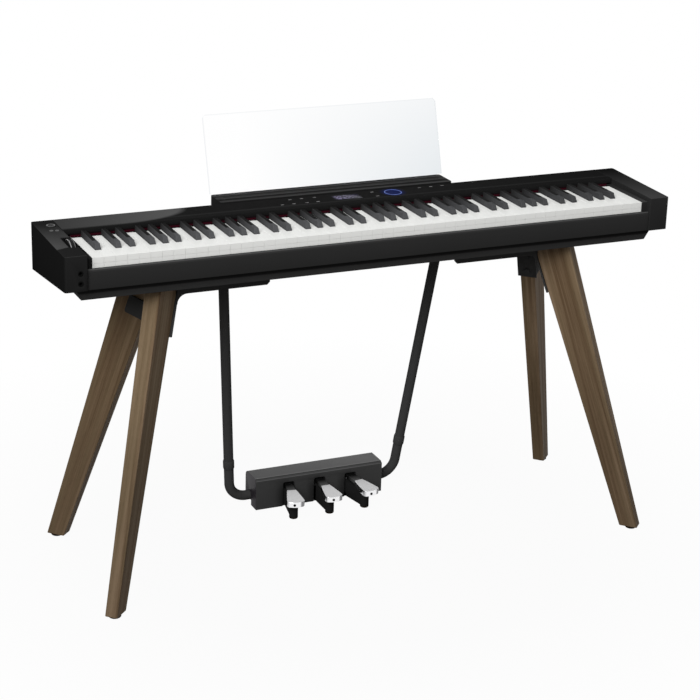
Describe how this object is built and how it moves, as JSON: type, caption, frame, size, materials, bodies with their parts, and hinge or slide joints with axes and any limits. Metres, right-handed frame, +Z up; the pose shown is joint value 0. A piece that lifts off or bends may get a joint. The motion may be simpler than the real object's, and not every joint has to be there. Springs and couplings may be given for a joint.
{
  "type": "digital piano on stand",
  "caption": "Slim digital piano with a full keyboard on four splayed wooden legs, with a clear music panel and a hung unit of three pedals.",
  "frame": {"origin": "on the floor, at the middle of the four legs", "axes": "+X along the keyboard towards the treble, +Y to the rear, +Z up"},
  "size_m": [1.34, 0.4556, 0.909],
  "materials": {
    "casing_black": "fine matte",
    "panel_gloss": "gloss",
    "felt_red": "soft felt",
    "frame_steel": "plain",
    "board_green": "satin",
    "speaker_grey": "satin",
    "display_glass": "smooth",
    "lights_blue": "smooth",
    "control_grey": "satin",
    "wheel_black": "satin",
    "clear_acrylic": "clear",
    "key_white": "satin",
    "key_black": "satin",
    "walnut": "oiled",
    "glide_plastic": "matte",
    "stand_steel": "fine matte",
    "rubber_black": "matte",
    "pedal_metal": "satin",
    "spring_steel": "plain"
  },
  "bodies": {
    "stand": {"bottom_tray": "casing_black", "front_rail": "casing_black", "left_end_block": "casing_black", "right_end_block": "casing_black", "top_panel": "panel_gloss", "rear_panel": "casing_black", "felt_strip": "felt_red", "key_frame": "frame_steel", "balance_rod": "frame_steel", "key_sensor_board": "board_green", "main_board": "board_green", "speakers": "speaker_grey", "display_glass": "display_glass", "panel_lights": "lights_blue", "phone_jacks": "control_grey", "rest_shelf": "casing_black", "leg_front_left": "walnut", "leg_front_right": "walnut", "leg_rear_left": "walnut", "leg_rear_right": "walnut", "floor_glides": "glide_plastic", "bracket_left": "stand_steel", "bracket_right": "stand_steel", "leg_bolts": "stand_steel", "body_screws": "stand_steel", "tube_left": "stand_steel", "tube_right": "stand_steel", "tube_collars": "rubber_black", "tube_clamps": "stand_steel", "pedal_cover": "casing_black", "pedal_base": "stand_steel", "pedal_feet": "rubber_black", "pedal_pins": "frame_steel", "soft_spring": "spring_steel", "sostenuto_spring": "spring_steel", "damper_spring": "spring_steel"},
    "keys_bass": {"white_keys_bass": "key_white", "black_keys_bass": "key_black"},
    "keys_treble": {"white_keys_treble": "key_white", "black_keys_treble": "key_black"},
    "key_c4": {"key_c4": "key_white"},
    "key_d4": {"key_d4": "key_white"},
    "key_e4": {"key_e4": "key_white"},
    "key_f4": {"key_f4": "key_white"},
    "key_g4": {"key_g4": "key_white"},
    "key_a4": {"key_a4": "key_white"},
    "key_b4": {"key_b4": "key_white"},
    "key_c_sharp4": {"key_c_sharp4": "key_black"},
    "key_d_sharp4": {"key_d_sharp4": "key_black"},
    "key_f_sharp4": {"key_f_sharp4": "key_black"},
    "key_g_sharp4": {"key_g_sharp4": "key_black"},
    "key_a_sharp4": {"key_a_sharp4": "key_black"},
    "soft_pedal": {"soft_pedal": "pedal_metal"},
    "sostenuto_pedal": {"sostenuto_pedal": "pedal_metal"},
    "damper_pedal": {"damper_pedal": "pedal_metal"},
    "bend_wheel": {"bend_wheel": "wheel_black"},
    "volume_knob": {"volume_knob": "control_grey"},
    "power_button": {"power_button": "control_grey"},
    "function_button": {"function_button": "control_grey"},
    "music_panel": {"music_panel": "clear_acrylic"}
  },
  "joints": [
    {"name": "keys_bass_press", "type": "hinge", "parent": "stand", "child": "keys_bass", "pos_m": [0, 0.055, 0.712], "axis": [1, 0, 0], "range_deg": [0, 3.1], "stiffness_Nm_per_rad": 23, "springref_deg": -17.19},
    {"name": "keys_treble_press", "type": "hinge", "parent": "stand", "child": "keys_treble", "pos_m": [0, 0.055, 0.712], "axis": [1, 0, 0], "range_deg": [0, 3.1], "stiffness_Nm_per_rad": 22, "springref_deg": -17.19},
    {"name": "key_c4_press", "type": "hinge", "parent": "stand", "child": "key_c4", "pos_m": [0, 0.055, 0.712], "axis": [1, 0, 0], "range_deg": [0, 3.1], "stiffness_Nm_per_rad": 0.6, "springref_deg": -17.19},
    {"name": "key_d4_press", "type": "hinge", "parent": "stand", "child": "key_d4", "pos_m": [0, 0.055, 0.712], "axis": [1, 0, 0], "range_deg": [0, 3.1], "stiffness_Nm_per_rad": 0.6, "springref_deg": -17.19},
    {"name": "key_e4_press", "type": "hinge", "parent": "stand", "child": "key_e4", "pos_m": [0, 0.055, 0.712], "axis": [1, 0, 0], "range_deg": [0, 3.1], "stiffness_Nm_per_rad": 0.6, "springref_deg": -17.19},
    {"name": "key_f4_press", "type": "hinge", "parent": "stand", "child": "key_f4", "pos_m": [0, 0.055, 0.712], "axis": [1, 0, 0], "range_deg": [0, 3.1], "stiffness_Nm_per_rad": 0.6, "springref_deg": -17.19},
    {"name": "key_g4_press", "type": "hinge", "parent": "stand", "child": "key_g4", "pos_m": [0, 0.055, 0.712], "axis": [1, 0, 0], "range_deg": [0, 3.1], "stiffness_Nm_per_rad": 0.6, "springref_deg": -17.19},
    {"name": "key_a4_press", "type": "hinge", "parent": "stand", "child": "key_a4", "pos_m": [0, 0.055, 0.712], "axis": [1, 0, 0], "range_deg": [0, 3.1], "stiffness_Nm_per_rad": 0.6, "springref_deg": -17.19},
    {"name": "key_b4_press", "type": "hinge", "parent": "stand", "child": "key_b4", "pos_m": [0, 0.055, 0.712], "axis": [1, 0, 0], "range_deg": [0, 3.1], "stiffness_Nm_per_rad": 0.6, "springref_deg": -17.19},
    {"name": "key_c_sharp4_press", "type": "hinge", "parent": "stand", "child": "key_c_sharp4", "pos_m": [0, 0.055, 0.712], "axis": [1, 0, 0], "range_deg": [0, 3.7], "stiffness_Nm_per_rad": 0.45, "springref_deg": -17.19},
    {"name": "key_d_sharp4_press", "type": "hinge", "parent": "stand", "child": "key_d_sharp4", "pos_m": [0, 0.055, 0.712], "axis": [1, 0, 0], "range_deg": [0, 3.7], "stiffness_Nm_per_rad": 0.45, "springref_deg": -17.19},
    {"name": "key_f_sharp4_press", "type": "hinge", "parent": "stand", "child": "key_f_sharp4", "pos_m": [0, 0.055, 0.712], "axis": [1, 0, 0], "range_deg": [0, 3.7], "stiffness_Nm_per_rad": 0.45, "springref_deg": -17.19},
    {"name": "key_g_sharp4_press", "type": "hinge", "parent": "stand", "child": "key_g_sharp4", "pos_m": [0, 0.055, 0.712], "axis": [1, 0, 0], "range_deg": [0, 3.7], "stiffness_Nm_per_rad": 0.45, "springref_deg": -17.19},
    {"name": "key_a_sharp4_press", "type": "hinge", "parent": "stand", "child": "key_a_sharp4", "pos_m": [0, 0.055, 0.712], "axis": [1, 0, 0], "range_deg": [0, 3.7], "stiffness_Nm_per_rad": 0.45, "springref_deg": -17.19},
    {"name": "soft_pedal_press", "type": "hinge", "parent": "stand", "child": "soft_pedal", "pos_m": [-0.0694, 0.192, 0.057], "axis": [0.982, -0.1891, 0], "range_deg": [0, 5], "stiffness_Nm_per_rad": 10, "springref_deg": -5.73, "deforming": ["soft_spring"]},
    {"name": "sostenuto_pedal_press", "type": "hinge", "parent": "stand", "child": "sostenuto_pedal", "pos_m": [0, 0.192, 0.057], "axis": [1, 0, 0], "range_deg": [0, 5], "stiffness_Nm_per_rad": 10, "springref_deg": -5.73, "deforming": ["sostenuto_spring"]},
    {"name": "damper_pedal_press", "type": "hinge", "parent": "stand", "child": "damper_pedal", "pos_m": [0.0694, 0.192, 0.057], "axis": [0.982, 0.1891, 0], "range_deg": [0, 5], "stiffness_Nm_per_rad": 10, "springref_deg": -5.73, "deforming": ["damper_spring"]},
    {"name": "bend_wheel_turn", "type": "hinge", "parent": "stand", "child": "bend_wheel", "pos_m": [-0.6335, -0.061, 0.71631], "axis": [1, 0, 0], "range_deg": [-40, 40], "stiffness_Nm_per_rad": 0.05},
    {"name": "volume_knob_turn", "type": "hinge", "parent": "stand", "child": "volume_knob", "pos_m": [-0.64, 0.052, 0.7439], "axis": [0, -0.0229, 0.9997], "range_deg": [-150, 150]},
    {"name": "power_button_press", "type": "slide", "parent": "stand", "child": "power_button", "axis": [0, 0.0229, -0.9997], "range_m": [0, 0.001], "stiffness_N_per_m": 400, "springref_m": -0.003},
    {"name": "function_button_press", "type": "slide", "parent": "stand", "child": "function_button", "axis": [0, 0.0229, -0.9997], "range_m": [0, 0.001], "stiffness_N_per_m": 400, "springref_m": -0.003},
    {"name": "music_panel_lift", "type": "slide", "parent": "stand", "child": "music_panel", "axis": [0, 0.2924, 0.9563], "range_m": [0, 0.06]}
  ]
}
